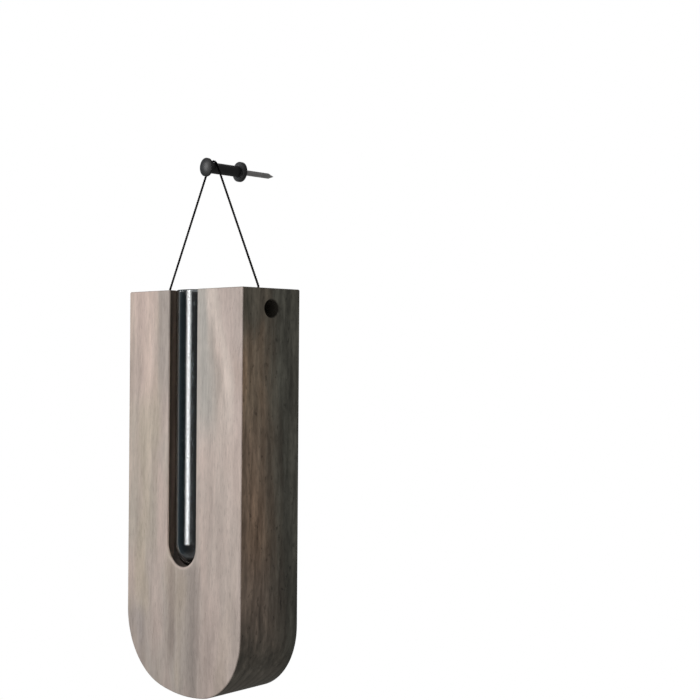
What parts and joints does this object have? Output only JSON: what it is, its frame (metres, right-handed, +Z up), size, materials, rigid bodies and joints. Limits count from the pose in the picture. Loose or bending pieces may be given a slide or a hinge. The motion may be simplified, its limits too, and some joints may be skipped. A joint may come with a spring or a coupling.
{
  "type": "hanging wall vase",
  "caption": "Wall vase: a drilled wood block with a rounded foot holds a glass tube behind a front window and hangs by a knotted cord from a wall peg.",
  "frame": {"origin": "axis of the wall peg where it meets the wall", "axes": "+Z up, +Y into the wall, so the front of the vase faces -Y; +X is to the right seen from the front"},
  "size_m": [0.098, 0.0635, 0.287],
  "materials": {
    "wood": "pale greyed wood, sanded, oiled thinly, darker on the sides",
    "glass": "clear, fire-rounded rim",
    "cord": "black waxed cord",
    "peg": "satin black"
  },
  "bodies": {
    "peg": {"wall_peg": "peg"},
    "vase": {"wood_block": "wood", "hanging_cord": "cord", "cord_knot_left": "cord", "cord_knot_right": "cord"},
    "tube": {"glass_tube": "glass"}
  },
  "joints": [
    {"name": "vase_swing", "type": "hinge", "parent": "peg", "child": "vase", "pos_m": [0, -0.0195, 0], "axis": [0, -1, 0], "range_deg": [-20, 20]},
    {"name": "tube_lift", "type": "slide", "parent": "vase", "child": "tube", "axis": [0, 0, 1], "range_m": [0, 0.042]}
  ]
}
